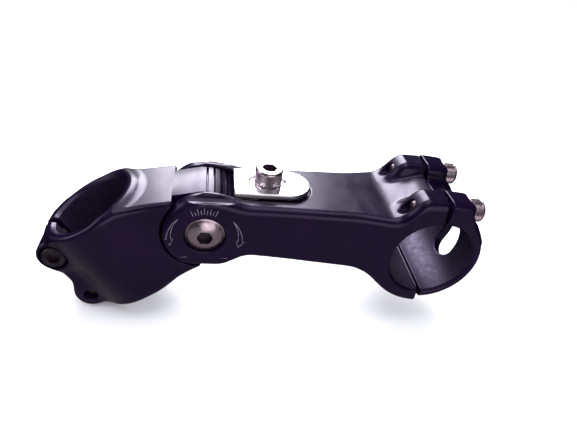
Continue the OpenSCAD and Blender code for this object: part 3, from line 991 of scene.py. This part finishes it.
def arrow_paths(turn):
    """A curved arrow's outline beside the bolt, ahead of it if turn is 1: tapered, with an open head."""
    def at(r, a):
        """The point at a radius and angle, mirrored if turn is -1."""
        x, z = polar(r, a)
        return (turn * x, z)
    tail, neck, tip = 38, -8, -20
    tail_r, tip_r, steps = 11.6, 12.6, 20
    angles = list(enumerate(np.linspace(tail, neck, steps + 1)))
    inner = [at(tail_r + 0.1 * k / steps, a) for k, a in angles]
    outer = [at(tail_r + 1.7 * k / steps, a) for k, a in angles]
    barb_in = [at(11.7, neck), at(11.0, neck + 0.8), at(tip_r, tip)]
    barb_out = [at(13.3, neck), at(14.1, neck + 0.8), at(tip_r, tip)]
    return [inner, outer, barb_in, barb_out]


def draped(flat):
    """Points of the arm's near side that lie behind the given (x, z) points, just proud of the paint."""
    x, z = flat.T
    y = np.full(len(x), -HALF_ARM - 1.0)
    for _ in range(40):
        y = y + 0.9 * arm_shape(x, y, z)
    return np.stack([x, y - 0.02, z], 1)


def make_print():
    """Thin grey marks on the near ear: two arrows, a scale of ticks and two dashes."""
    line_width = 0.19
    paths = arrow_paths(1) + arrow_paths(-1)
    for k, a in enumerate(np.linspace(70, 116, 9)):
        outer_r = 11.2 if k % 2 else 11.9
        paths.append([polar(9.4, a), polar(outer_r, a)])
    paths += [[(5.9, -9.6), (8.3, -9.6)], [(-8.3, -9.6), (-5.9, -9.6)]]
    points, faces = [], []
    for path in paths:
        flat, quads = ribbon(path, line_width)
        faces += [[len(points) + k for k in quad] for quad in quads]
        points += flat.tolist()
    sheet = new_piece("ear_print", in_arm(draped(np.array(points))), faces)
    thick = sheet.modifiers.new("thick", "SOLIDIFY")
    thick.thickness = 0.03 * MM
    thick.offset = 0
    finish_piece(baked(sheet), "arm", "black_paint", PRINT)


# ---- CAD nodes that stay ----

def dress_cad_nodes():
    """Inner CAD nodes keep their shape and take a detailed material."""
    looks = {"pivot_bushing": BRONZE, "thrust_washer_near": NYLON, "thrust_washer_far": NYLON,
             "lock_thread_insert": DARK_AND_SOCKET_SHADE, "clamp_insert_near": DARK_AND_SOCKET_SHADE, "clamp_insert_far": DARK_AND_SOCKET_SHADE}
    for name, material in looks.items():
        for slot in frame["nodes"][name].material_slots:
            slot.material = material


# ---- stage ----

def make_floor():
    """A wide floor just under the stem at rest. Glossy paint doesn't mirror it."""
    half, drop = 4000, CAD_BOX[0].z / MM - 0.2
    corners = [(-half, -half, drop), (half, -half, drop), (half, half, drop), (-half, half, drop)]
    floor = new_piece("floor", corners, [[0, 1, 2, 3]])
    floor.data.materials.append(pale_floor())
    floor.visible_glossy = False
    floor.visible_shadow = False


def make_light(name, where, target, size, power, colour):
    """A rectangular soft light at where, facing target, both in metres."""
    data = bpy.data.lights.new(name, "AREA")
    data.shape = "RECTANGLE"
    data.size, data.size_y = size
    data.energy = power
    data.color = colour
    lamp = bpy.data.objects.new(name, data)
    lamp.location = where
    lamp.rotation_euler = (Vector(target) - Vector(where)).to_track_quat("-Z", "Y").to_euler()
    bpy.context.scene.collection.objects.link(lamp)


def make_lights():
    """One bright box behind, soft fills, a card below for the metal, and a white surround."""
    middle = (0.055, 0.0, 0.0)
    make_light("back_softbox", (0.0, 0.62, 0.46), middle, (0.44, 0.45), 11, (0.95, 0.96, 1.0))
    make_light("overhead", (0.0, -0.05, 0.9), middle, (0.7, 0.7), 4, (1, 1, 1))
    make_light("left_strip", (-0.75, 0.1, 0.35), middle, (0.5, 0.5), 2, (0.96, 0.93, 1.0))
    make_light("front_fill", (0.25, -0.9, 0.25), middle, (0.8, 0.5), 2.5, (1.0, 0.93, 0.97))
    make_light("low_card", (0.05, -0.3, -0.5), middle, (2.0, 2.0), 3, (1.0, 0.88, 0.95))
    world = bpy.data.worlds.new("studio")
    world.use_nodes = True
    background = world.node_tree.nodes["Background"]
    background.inputs["Color"].default_value = (0.9, 0.92, 1.0, 1)
    background.inputs["Strength"].default_value = 1.1
    bpy.context.scene.world = world
    world.cycles_visibility.glossy = False


def make_camera():
    """A camera on the near side that looks 35 degrees down, turned 12.5 degrees and rolled 10 degrees."""
    yaw, pitch, roll = math.radians(12.51), math.radians(-35.02), math.radians(9.91)
    ahead = Vector((math.sin(yaw) * math.cos(pitch), math.cos(yaw) * math.cos(pitch), math.sin(pitch)))
    turn = ahead.to_track_quat("-Z", "Y").to_matrix().to_4x4() @ Matrix.Rotation(roll, 4, "Z")
    data = bpy.data.cameras.new("camera")
    data.sensor_width, data.lens = 36, 30.36
    data.clip_start = 0.01
    camera = bpy.data.objects.new("camera", data)
    camera.matrix_world = Matrix.Translation((0.02975, -0.1497, 0.12081)) @ turn
    bpy.context.scene.collection.objects.link(camera)
    bpy.context.scene.camera = camera


make_camera()
make_arm()
make_cap()
make_clamp()
make_tongue()
make_wedge()
make_bolts()
make_pivot_bolt()
make_pivot_nut()
make_print()
dress_cad_nodes()
make_floor()
make_lights()
bpy.context.scene.view_settings.view_transform = "Standard"
